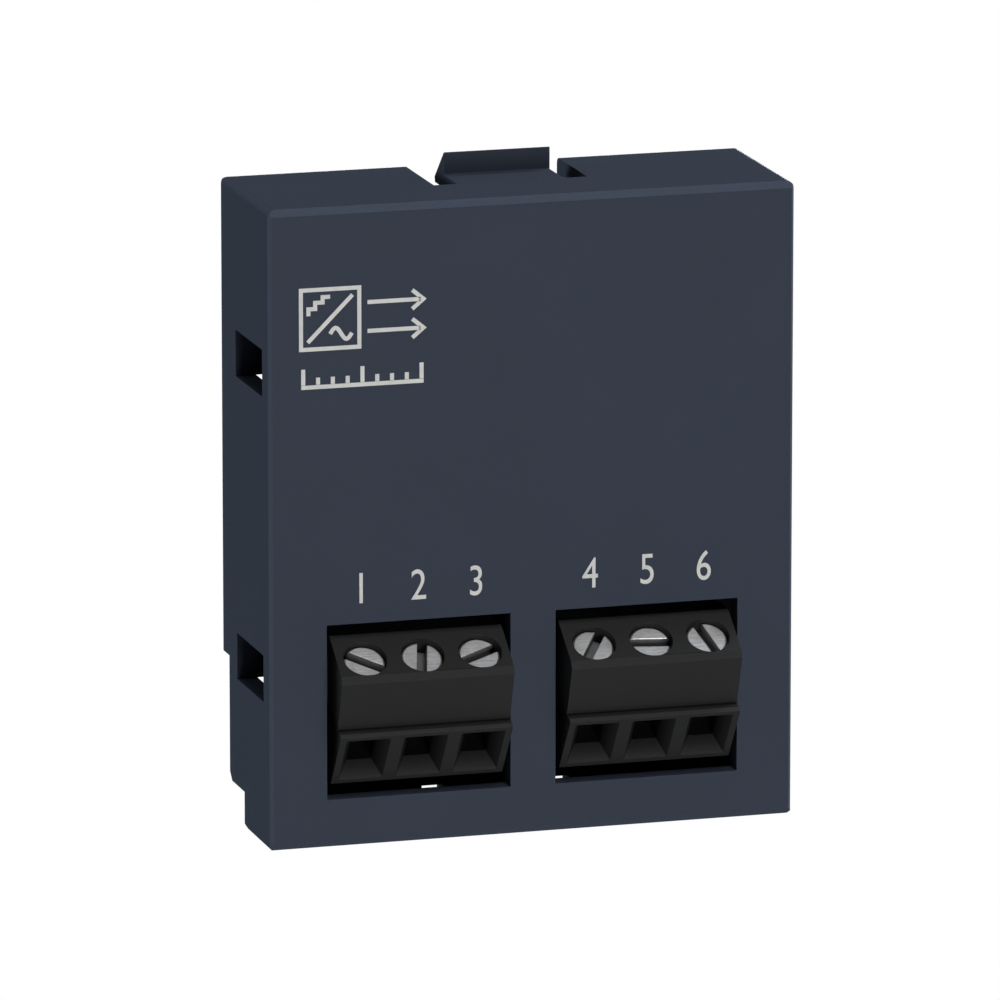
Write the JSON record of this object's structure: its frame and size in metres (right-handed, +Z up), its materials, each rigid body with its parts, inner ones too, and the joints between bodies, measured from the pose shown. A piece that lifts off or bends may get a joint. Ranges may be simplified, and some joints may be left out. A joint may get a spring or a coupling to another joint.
{
  "type": "plc module",
  "caption": "Plug-in analog output cartridge for a small controller, with screw terminal blocks in front, a snap latch on top and a socket connector behind.",
  "frame": {"origin": "the middle of the plane that the housing's rear rim rests on in the controller's slot", "axes": "+Z up, towards the latch; +Y from the front face towards the rear connector; +X to the right seen from the front"},
  "size_m": [0.0356, 0.0254, 0.044],
  "materials": {
    "housing_plastic": "fine moulded texture, dark blue-grey",
    "terminal_plastic": "moulded, satin black",
    "connector_plastic": "moulded, satin black",
    "board_laminate": "glass-fibre board with dark green solder mask",
    "screw_steel": "bright zinc-plated steel",
    "clamp_steel": "zinc-plated pressed steel",
    "tinned_copper": "tin-plated copper alloy, silver-grey",
    "contact_gold": "gold-plated copper alloy",
    "chip_plastic": "black moulding compound",
    "capacitor_case": "yellow moulded case",
    "resistor_body": "black coated ceramic",
    "ferrite_core": "grey sintered ferrite"
  },
  "bodies": {
    "module_body": {"front_housing": "housing_plastic", "main_circuit_board": "board_laminate", "terminal_block_left": "terminal_plastic", "terminal_block_right": "terminal_plastic", "contact_pin_1": "tinned_copper", "contact_pin_2": "tinned_copper", "contact_pin_3": "tinned_copper", "contact_pin_4": "tinned_copper", "contact_pin_5": "tinned_copper", "contact_pin_6": "tinned_copper", "board_connector_body": "connector_plastic", "connector_contact_1": "contact_gold", "connector_contact_2": "contact_gold", "connector_contact_3": "contact_gold", "connector_contact_4": "contact_gold", "connector_contact_5": "contact_gold", "connector_contact_6": "contact_gold", "connector_contact_7": "contact_gold", "connector_contact_8": "contact_gold", "connector_contact_9": "contact_gold", "connector_contact_10": "contact_gold", "connector_contact_11": "contact_gold", "connector_contact_12": "contact_gold", "converter_chip": "chip_plastic", "loop_amplifier_left": "chip_plastic", "loop_amplifier_right": "chip_plastic", "output_transistor_left": "chip_plastic", "output_transistor_right": "chip_plastic", "surge_diode_left": "chip_plastic", "surge_diode_right": "chip_plastic", "memory_chip": "chip_plastic", "boost_converter_chip": "chip_plastic", "tantalum_capacitor_left": "capacitor_case", "tantalum_capacitor_right": "capacitor_case", "sense_resistor_left": "resistor_body", "sense_resistor_right": "resistor_body", "boost_inductor": "ferrite_core"},
    "latch": {"latch_clip": "housing_plastic"},
    "screw_1": {"terminal_screw_1": "screw_steel"},
    "cage_1": {"clamp_cage_1": "clamp_steel"},
    "screw_2": {"terminal_screw_2": "screw_steel"},
    "cage_2": {"clamp_cage_2": "clamp_steel"},
    "screw_3": {"terminal_screw_3": "screw_steel"},
    "cage_3": {"clamp_cage_3": "clamp_steel"},
    "screw_4": {"terminal_screw_4": "screw_steel"},
    "cage_4": {"clamp_cage_4": "clamp_steel"},
    "screw_5": {"terminal_screw_5": "screw_steel"},
    "cage_5": {"clamp_cage_5": "clamp_steel"},
    "screw_6": {"terminal_screw_6": "screw_steel"},
    "cage_6": {"clamp_cage_6": "clamp_steel"}
  },
  "joints": [
    {"name": "latch_flex", "type": "hinge", "parent": "module_body", "child": "latch", "pos_m": [0, -0.00685, 0.0208], "axis": [-1, 0, 0], "range_deg": [0, 14], "stiffness_Nm_per_rad": 0.068},
    {"name": "screw_1_turn", "type": "hinge", "parent": "module_body", "child": "screw_1", "pos_m": [-0.01163, -0.0131, -0.00848], "axis": [0, 0.5736, -0.8192], "range_deg": [0, 1262]},
    {"name": "cage_1_lift", "type": "slide", "parent": "module_body", "child": "cage_1", "axis": [0, -0.5736, 0.8192], "range_m": [0, 0.0014]},
    {"name": "screw_2_turn", "type": "hinge", "parent": "module_body", "child": "screw_2", "pos_m": [-0.00775, -0.0131, -0.00848], "axis": [0, 0.5736, -0.8192], "range_deg": [0, 1262]},
    {"name": "cage_2_lift", "type": "slide", "parent": "module_body", "child": "cage_2", "axis": [0, -0.5736, 0.8192], "range_m": [0, 0.0014]},
    {"name": "screw_3_turn", "type": "hinge", "parent": "module_body", "child": "screw_3", "pos_m": [-0.00387, -0.0131, -0.00848], "axis": [0, 0.5736, -0.8192], "range_deg": [0, 1262]},
    {"name": "cage_3_lift", "type": "slide", "parent": "module_body", "child": "cage_3", "axis": [0, -0.5736, 0.8192], "range_m": [0, 0.0014]},
    {"name": "screw_4_turn", "type": "hinge", "parent": "module_body", "child": "screw_4", "pos_m": [0.00387, -0.0131, -0.00848], "axis": [0, 0.5736, -0.8192], "range_deg": [0, 1262]},
    {"name": "cage_4_lift", "type": "slide", "parent": "module_body", "child": "cage_4", "axis": [0, -0.5736, 0.8192], "range_m": [0, 0.0014]},
    {"name": "screw_5_turn", "type": "hinge", "parent": "module_body", "child": "screw_5", "pos_m": [0.00775, -0.0131, -0.00848], "axis": [0, 0.5736, -0.8192], "range_deg": [0, 1262]},
    {"name": "cage_5_lift", "type": "slide", "parent": "module_body", "child": "cage_5", "axis": [0, -0.5736, 0.8192], "range_m": [0, 0.0014]},
    {"name": "screw_6_turn", "type": "hinge", "parent": "module_body", "child": "screw_6", "pos_m": [0.01163, -0.0131, -0.00848], "axis": [0, 0.5736, -0.8192], "range_deg": [0, 1262]},
    {"name": "cage_6_lift", "type": "slide", "parent": "module_body", "child": "cage_6", "axis": [0, -0.5736, 0.8192], "range_m": [0, 0.0014]}
  ],
  "couplings": [
    {"joint": "screw_1_turn", "follows": "cage_1_lift", "rad_per_m": 15708},
    {"joint": "screw_2_turn", "follows": "cage_2_lift", "rad_per_m": 15708},
    {"joint": "screw_3_turn", "follows": "cage_3_lift", "rad_per_m": 15708},
    {"joint": "screw_4_turn", "follows": "cage_4_lift", "rad_per_m": 15708},
    {"joint": "screw_5_turn", "follows": "cage_5_lift", "rad_per_m": 15708},
    {"joint": "screw_6_turn", "follows": "cage_6_lift", "rad_per_m": 15708}
  ]
}
